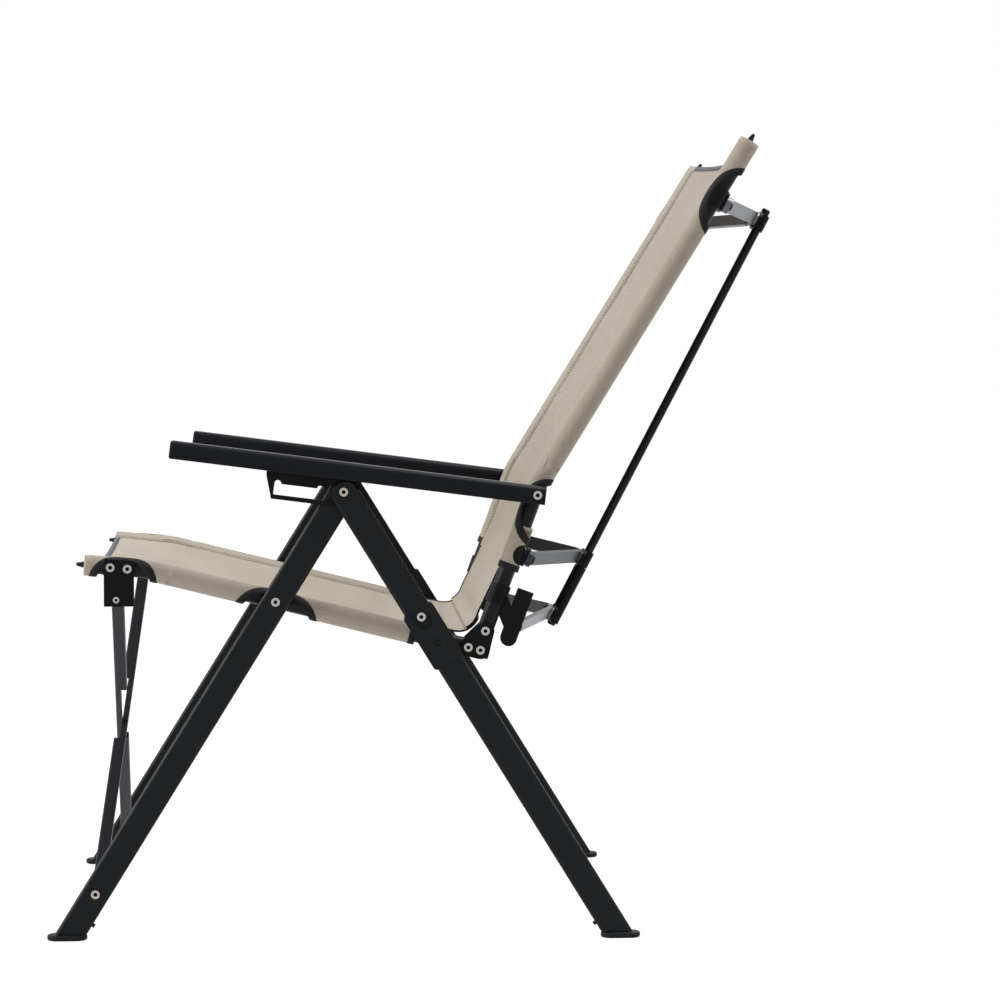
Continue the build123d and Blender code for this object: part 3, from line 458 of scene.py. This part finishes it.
SEAT_ROWS = np.r_[
    np.linspace(0, SEAT_END_S - 0.04, 60), np.linspace(SEAT_END_S - 0.04, SPLIT_S + LAP_ABOVE, 56)[1:]]
BACK_ROWS = np.r_[
    np.linspace(SPLIT_S - LAP_BELOW, BACK_START_S + 0.05, 56), np.linspace(BACK_START_S + 0.05, TOP_S, 95)[1:]]
seat_panel, seat_flat, seat_area = panel("seat_panel", SEAT_ROWS, seat_lift)
back_panel, back_flat, back_area = panel("back_panel", BACK_ROWS, back_lift)


# Sleeves round the tubes
class Sleeve:
    """A strip folded round a tube, both of its edges sewn to the panel at the seam."""

    def __init__(self, start, end, slack):
        self.start, self.end = start, end
        seam = np.array([SEAM_Y - TUBE_Y, EDGE_N])
        tilt = math.atan2(seam[1], seam[0])
        swing = math.acos(SLEEVE_R / np.linalg.norm(seam))
        low, high = tilt - swing, tilt + swing
        ring = np.linspace(high - 2 * math.pi, low, 33)
        round_part = np.stack([np.cos(ring), np.sin(ring)], 1) * SLEEVE_R
        hang = 0.5 - 0.5 * np.cos((ring - ring[0]) / (ring[-1] - ring[0]) * 2 * math.pi)
        round_part[:, 1] -= slack * hang * np.clip(-np.sin(ring), 0, 1)
        lower = [seam + (round_part[0] - seam) * k for k in (0, 0.25, 0.5, 0.75)]
        upper = [round_part[-1] + (seam - round_part[-1]) * k for k in (0.25, 0.5, 0.75, 1)]
        self.section = np.array(lower + list(round_part) + upper)
        self.section[:4, 1] -= 0.0009
        self.section[-4:, 1] += 0.0009
        self.a = np.r_[0, np.cumsum(np.linalg.norm(np.diff(self.section, axis=0), axis=1))]

    def at(self, s, a, side, lift=0.0):
        """Point on the strip, a distance along it and round it, on one side of the chair."""
        w = np.interp(a, self.a, self.section[:, 0])
        n = np.interp(a, self.a, self.section[:, 1])
        da = 0.0006
        tw = np.interp(a + da, self.a, self.section[:, 0]) - np.interp(a - da, self.a, self.section[:, 0])
        tn = np.interp(a + da, self.a, self.section[:, 1]) - np.interp(a - da, self.a, self.section[:, 1])
        size = np.hypot(tw, tn) + 1e-12
        return world(s, side * (TUBE_Y + w + lift * tn / size), n - lift * tw / size)


def arch_width(sleeve, half, limit):
    """Half length of a cut-out at each strip column: widest below, closing toward the sitter's side."""
    n = sleeve.section[:, 1]
    depth = limit - n.min()
    radius = (half * half + depth * depth) / (2 * depth)
    middle = limit - radius
    inside = np.clip(radius ** 2 - (n - middle) ** 2, 0, None)
    width = np.where((n < limit) & (n > middle - radius), np.sqrt(inside), 0)
    width[:int(np.argmin(n))] = half
    width[int(np.argmax(n)):] = 0
    return width


def sleeve_piece(name, sleeve, side, arches):
    """The strip as a mesh with its cut-outs; also returns each cut-out's edge as flat points."""
    cols = len(sleeve.section)
    gap = 0.0006
    rows, marks = [], []
    here = sleeve.start
    for centre, half, limit in arches:
        zone_low, zone_high = max(centre - half - 0.02, here), centre + half + 0.02
        width = np.maximum(arch_width(sleeve, half, limit), gap)
        for s in np.linspace(here, zone_low, max(2, int((zone_low - here) / 0.006) + 1))[:-1]:
            rows.append(np.full(cols, s))
        for k in np.linspace(0, 1, 9):
            rows.append(zone_low + (centre - width - zone_low) * k)
        marks.append((len(rows) - 1, width > gap * 1.01))
        for k in np.linspace(0, 1, 9):
            rows.append(centre + width + (zone_high - centre - width) * k)
        here = zone_high
    for s in np.linspace(here, sleeve.end, max(2, int((sleeve.end - here) / 0.006) + 1))[1:]:
        rows.append(np.full(cols, s))
    s = np.array(rows)
    a = np.broadcast_to(sleeve.a, s.shape)
    skip = [(r, c) for r, cut in marks for c in range(cols - 1) if cut[c] or cut[c + 1]]
    faces = grid_faces(len(s), cols, skip)
    points = sleeve.at(s.ravel(), a.ravel(), side)
    if side > 0:
        faces = [f[::-1] for f in faces]
    obj = mesh_object(name, points, faces, TAN, np.stack([a.ravel(), s.ravel()], 1))
    area = flat_area(s, a, faces)
    thicken(obj, CLOTH_T)
    edges = []
    for r, cut in marks:
        last = int(np.nonzero(cut)[0].max()) + 1
        there = [(s[r, c], a[r, c]) for c in range(last + 1)]
        back = [(s[r + 1, c], a[r + 1, c]) for c in range(last, -1, -1)]
        edges.append(np.array(there + back))
    return obj, (float(sleeve.a[-1]), float(sleeve.end - sleeve.start)), area, edges


def even(points, step):
    gaps = np.r_[0, np.cumsum(np.linalg.norm(np.diff(points, axis=0), axis=1))]
    where = np.linspace(0, gaps[-1], max(3, int(gaps[-1] / step) + 1))
    return np.stack([np.interp(where, gaps, points[:, i]) for i in range(points.shape[1])], 1)


def binding(name, surface, edge, width, mat, inward=1, thick=0.0012):
    """Tape folded over a cloth edge, given as flat points; surface maps flat points to the row frame."""
    line = even(edge, 0.003)
    t = np.gradient(line, axis=0)
    t /= np.linalg.norm(t, axis=1)[:, None] + 1e-12
    m = np.stack([-t[:, 1], t[:, 0]], 1) * inward
    for _ in range(3):
        m[1:-1] = (m[:-2] + 2 * m[1:-1] + m[2:]) / 4
        m /= np.linalg.norm(m, axis=1)[:, None]
    profile = [(-0.0012, 0.0), (-0.0007, thick * 0.8), (0.0008, thick), (width * 0.5, thick),
               (width, thick * 0.9), (width, -thick * 0.9), (width * 0.5, -thick), (0.0008, -thick),
               (-0.0007, -thick * 0.8)]
    verts, uvs = [], []
    for j, (reach, lift) in enumerate(profile):
        flat_points = line + m * reach
        verts.append(surface(flat_points[:, 0], flat_points[:, 1], lift))
        uvs.append(np.stack([np.full(len(line), j * width / 8), np.arange(len(line)) * 0.003], 1))
    verts = np.array(verts).transpose(1, 0, 2)
    uvs = np.array(uvs).transpose(1, 0, 2).reshape(-1, 2)
    count, ring = verts.shape[:2]
    faces = []
    for i in range(count - 1):
        for j in range(ring):
            k = (j + 1) % ring
            faces.append((i * ring + j, i * ring + k, (i + 1) * ring + k, (i + 1) * ring + j))
    faces.append(tuple(range(ring))[::-1])
    faces.append(tuple((count - 1) * ring + j for j in range(ring)))
    obj = mesh_object(name, verts.reshape(-1, 3), faces, mat, uvs)
    bm = bmesh.new()
    bm.from_mesh(obj.data)
    bmesh.ops.recalc_face_normals(bm, faces=bm.faces)
    bm.to_mesh(obj.data)
    bm.free()
    return obj


def stitches(name, points, normals, pitch=0.0042, length=0.0028, radius=0.00042):
    """A line of single stitches along row-frame points."""
    line = even(np.hstack([points, normals]), pitch)
    verts, faces = [], []
    for i in range(len(line) - 1):
        p, nrm = line[i, :3], line[i, 3:]
        d = line[i + 1, :3] - p
        d = d / (np.linalg.norm(d) + 1e-12)
        across = np.cross(d, nrm)
        base = len(verts)
        for along, share in ((-0.5, 0.35), (-0.3, 1.0), (0.3, 1.0), (0.5, 0.35)):
            centre = p + d * along * length + nrm * radius * (0.9 * share - 0.3)
            for k in range(STITCH_SIDES):
                angle = 2 * math.pi * k / STITCH_SIDES
                verts.append(centre + radius * share * (across * math.cos(angle) + nrm * math.sin(angle)))
        for r in range(3):
            here, there = base + r * STITCH_SIDES, base + (r + 1) * STITCH_SIDES
            for k in range(STITCH_SIDES):
                j = (k + 1) % STITCH_SIDES
                faces.append((here + k, here + j, there + j, there + k))
        faces.append(tuple(base + k for k in range(STITCH_SIDES))[::-1])
        faces.append(tuple(base + 3 * STITCH_SIDES + k for k in range(STITCH_SIDES)))
    return mesh_object(name, verts, faces, THREAD)


# Each cut-out's middle along the run, half length, and height where it closes; the short notch has no tape
SLEEVE_SLACK = 0.002
SEAT_SLEEVE = Sleeve(0.0, SEAT_END_S, SLEEVE_SLACK)
BACK_SLEEVE = Sleeve(BACK_START_S, TOP_S, SLEEVE_SLACK)
SEAT_ARCHES = [(BRACKET_S + 0.007, 0.0336, 0.0098), (PIVOT_S + 0.003, 0.042, 0.0102)]
BACK_ARCHES = [
    (MIDDLE_LINK_S + 0.002, 0.0135, 0.001), (ARM_S - 0.018, 0.036, 0.0092), (TOP_LINK_S, 0.038, 0.0072)]
PLAIN_NOTCH = 0.02
sheets = []


def dress(kind, sleeve, arches, end_at, end_in):
    """Both sleeves of the seat or the back, with their bindings and stitching."""
    for side, word in ((-1, "left"), (1, "right")):
        obj, size, area, edges = sleeve_piece(f"{kind}_sleeve_{word}", sleeve, side, arches)

        def surface(s, a, lift, side=side):
            return sleeve.at(s, a, side, lift)

        extras = []
        for i, edge in enumerate(edges):
            if arches[i][1] < PLAIN_NOTCH:
                continue
            extras.append(binding(f"{kind}_arch_tape_{word}_{i}", surface, edge, ARCH_TAPE, TAPE))
        end = np.stack([np.full(80, end_at), np.linspace(0, sleeve.a[-1], 80)], 1)
        extras.append(binding(f"{kind}_end_tape_{word}", surface, end, END_TAPE, TAPE, end_in))
        along = np.linspace(sleeve.start + TAPE_GAP, sleeve.end - TAPE_GAP, 200)
        for label, inset in STITCH_INSETS:
            where = np.full(200, sleeve.a[-1] - inset)
            top = sleeve.at(along, where, side, CLOTH_T / 2)
            above = sleeve.at(along, where, side, CLOTH_T / 2 + 0.001)
            extras.append(stitches(f"{kind}_seam_{label}_{word}", top, (above - top) / 0.001))
        for piece in [obj] + extras:
            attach(piece, f"{kind}_{word}")
        sheets.append((obj, size, area, [f"{kind}_tube_{word}"], extras))


dress("seat", SEAT_SLEEVE, SEAT_ARCHES, SEAT_END_S, 1)
dress("back", BACK_SLEEVE, BACK_ARCHES, BACK_START_S, -1)


# Tapes on the panels, and how the panels go with the chair
def panel_surface(lift_of):
    def surface(s, y, lift):
        return world(np.asarray(s), np.asarray(y), panel_rise(s, y) + lift_of(np.asarray(s)) + lift)
    return surface


HEM_Y = np.linspace(-SEAM_Y + HEM_INSET, SEAM_Y - HEM_INSET, 160)
for kind, piece, size, area, lift_of, hem_at, hem_in, low_s, high_s in (
    ("seat", seat_panel, seat_flat, seat_area, seat_lift, 0.0, -1,
     SEAT_END_S + TAPE_GAP, SPLIT_S + LAP_ABOVE - TAPE_INSET),
    ("back", back_panel, back_flat, back_area, back_lift, TOP_S, 1,
     SPLIT_S - LAP_BELOW + TAPE_INSET, BACK_START_S - TAPE_GAP),
):
    cloth = panel_surface(lift_of)
    hem = np.stack([np.full(160, hem_at), HEM_Y], 1)
    extras = [binding(f"{kind}_hem_tape", cloth, hem, HEM_TAPE, GREY_TAPE, hem_in)]
    side_s = np.linspace(low_s, high_s, 40)
    for word, sign in (("left", -1), ("right", 1)):
        edge = np.stack([side_s, sign * panel_half(side_s)], 1)
        extras.append(binding(f"{kind}_side_tape_{word}", cloth, edge, SIDE_TAPE, TAPE, -sign))
    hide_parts(f"{kind}_sling")
    for soft in [piece] + extras:
        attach(soft, f"{kind}_left")
        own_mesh(soft)
    sheets.append((piece, size, area, [f"{kind}_sleeve_left", f"{kind}_sleeve_right"], extras))

for piece, size, area, carriers, extras in sheets:
    min(area, size[0] * size[1])
    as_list(carriers)
    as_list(extras)


# Painted shade in the hollows of the tubular rivets: near-black cups, with rings as a share of the head's
# radius, with their depth
EYE_SHADE_RINGS = ((0.44, 0.0013), (0.38, 0.0024), (0.18, 0.0027))
EYE_SIDES = 16


def eye_spots(node):
    """Place, outer face and head radius of each rivet in a node."""
    bm = bmesh.new()
    bm.from_mesh(node.data)
    bmesh.ops.remove_doubles(bm, verts=bm.verts, dist=1e-6)
    seen, spots = set(), []
    for start in bm.verts:
        if start in seen:
            continue
        group, queue = [], [start]
        seen.add(start)
        while queue:
            v = queue.pop()
            group.append(v.co.copy())
            for e in v.link_edges:
                other = e.other_vert(v)
                if other not in seen:
                    seen.add(other)
                    queue.append(other)
        co = np.array([tuple(c) for c in group])
        centre = (co.min(0) + co.max(0)) / 2
        outer = co[:, 1].min() if centre[1] < 0 else co[:, 1].max()
        spots.append((centre[0], outer, centre[2], (co[:, 0].max() - co[:, 0].min()) / 2))
    bm.free()
    return spots


def eye_shade_cups(name, spots):
    """Shallow dished near-black cups at the bottom of rivet eyes, as painted shade inside them."""
    verts, faces = [], []
    for x, outer, z, head in spots:
        sign = -1 if outer < 0 else 1
        base = len(verts)
        for share, depth in EYE_SHADE_RINGS:
            radius = share * head
            for k in range(EYE_SIDES):
                angle = 2 * math.pi * k / EYE_SIDES
                verts.append((x + radius * math.cos(angle), outer - sign * depth, z + radius * math.sin(angle)))
        for r in range(len(EYE_SHADE_RINGS) - 1):
            here, there = base + r * EYE_SIDES, base + (r + 1) * EYE_SIDES
            for k in range(EYE_SIDES):
                j = (k + 1) % EYE_SIDES
                faces.append((here + k, here + j, there + j, there + k))
        faces.append(tuple(base + (len(EYE_SHADE_RINGS) - 1) * EYE_SIDES + k for k in range(EYE_SIDES)))
    return mesh_object(name, verts, faces, SHADE)


# Near-black cups of painted shade in the rivet eyes of each body
for word in ("left", "right"):
    for body, members in (
        (f"rear_leg_{word}", ("slide_stop", "leg_pivot_pin")),
        (f"seat_{word}", ("seat_rivets", "seat_pivot_pin", "back_pivot_pin")),
        (f"back_{word}", ("arm_pivot_pin",)), (f"brace_knuckle_{word}", ("brace_rivet",)),
    ):
        spots = []
        for member in members:
            found = eye_spots(NODES[f"{member}_{word}"])
            spots += [max(found, key=lambda spot: abs(spot[1]))] if member == "leg_pivot_pin" else found
        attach(eye_shade_cups(f"rivet_hollow_shade_cups_{body}", spots), body)


# Floor, light and camera
FLOOR_HALF = 30
FLOOR_GLOW = 1.25
FLOOR_GLOW_SHARE = 0.76
AMBIENT = 0.25
CAMERA_LENS = 105.0
CAMERA_PLACE = (-0.1077, -3.7722, 0.6807)
CAMERA_TURN = (87.489, 0, -3.215)


def floor_material():
    mat, tree, bsdf = material("floor_white", (0.9, 0.9, 0.9), 0.9)
    glow = add(tree, "ShaderNodeEmission", Strength=FLOOR_GLOW)
    path = add(tree, "ShaderNodeLightPath")
    seen = add(tree, "ShaderNodeMath", operation="MAXIMUM")
    tree.links.new(path.outputs["Is Camera Ray"], seen.inputs[0])
    tree.links.new(path.outputs["Is Glossy Ray"], seen.inputs[1])
    share = add(tree, "ShaderNodeMath", operation="MULTIPLY")
    share.inputs[1].default_value = FLOOR_GLOW_SHARE
    tree.links.new(seen.outputs[0], share.inputs[0])
    mix = add(tree, "ShaderNodeMixShader")
    tree.links.new(share.outputs[0], mix.inputs["Fac"])
    tree.links.new(bsdf.outputs["BSDF"], mix.inputs[1])
    tree.links.new(glow.outputs["Emission"], mix.inputs[2])
    tree.links.new(mix.outputs["Shader"], tree.nodes["Material Output"].inputs["Surface"])
    return mat


floor_corners = [(x * FLOOR_HALF, y * FLOOR_HALF, 0) for x, y in ((-1, -1), (1, -1), (1, 1), (-1, 1))]
floor = mesh_object("floor", floor_corners, [(0, 1, 2, 3)], floor_material(), smooth=False)

scene = bpy.context.scene
scene.view_settings.view_transform = "Standard"
sky = bpy.data.worlds.new("studio")
scene.world = sky
sky.use_nodes = True
tree = sky.node_tree
ambient = tree.nodes["Background"]
ambient.inputs["Color"].default_value = (1.0, 1.0, 1.0, 1)
ambient.inputs["Strength"].default_value = AMBIENT
white = add(tree, "ShaderNodeBackground", Color=(1, 1, 1, 1), Strength=1.0)
rays = add(tree, "ShaderNodeLightPath")
seen_or_mirrored = add(tree, "ShaderNodeMath", operation="MAXIMUM")
seen_at_all = add(tree, "ShaderNodeMath", operation="MAXIMUM")
tree.links.new(rays.outputs["Is Camera Ray"], seen_or_mirrored.inputs[0])
tree.links.new(rays.outputs["Is Glossy Ray"], seen_or_mirrored.inputs[1])
tree.links.new(seen_or_mirrored.outputs[0], seen_at_all.inputs[0])
tree.links.new(rays.outputs["Is Transmission Ray"], seen_at_all.inputs[1])
choose = add(tree, "ShaderNodeMixShader")
tree.links.new(seen_at_all.outputs[0], choose.inputs["Fac"])
tree.links.new(ambient.outputs["Background"], choose.inputs[1])
tree.links.new(white.outputs["Background"], choose.inputs[2])
tree.links.new(choose.outputs["Shader"], tree.nodes["World Output"].inputs["Surface"])


def softbox(name, place, target, size, power):
    lamp = bpy.data.lights.new(name, "AREA")
    lamp.shape = "RECTANGLE"
    lamp.size, lamp.size_y = size
    lamp.energy = power
    obj = bpy.data.objects.new(name, lamp)
    scene.collection.objects.link(obj)
    obj.location = place
    obj.rotation_euler = (Vector(target) - Vector(place)).to_track_quat("-Z", "Y").to_euler()


softbox("front", place=(-3.0, -0.7, 1.8), target=(0.0, 0.0, 0.6), size=(1.8, 1.6), power=94)
softbox("top", place=(1.5, 0.1, 3.0), target=(0.0, 0.0, 0.5), size=(1.8, 2.0), power=96)

camera = bpy.data.cameras.new("camera")
camera.sensor_width = 36.0
camera.lens = CAMERA_LENS
cam = bpy.data.objects.new("camera", camera)
scene.collection.objects.link(cam)
cam.location = CAMERA_PLACE
cam.rotation_euler = [math.radians(angle) for angle in CAMERA_TURN]
scene.camera = cam
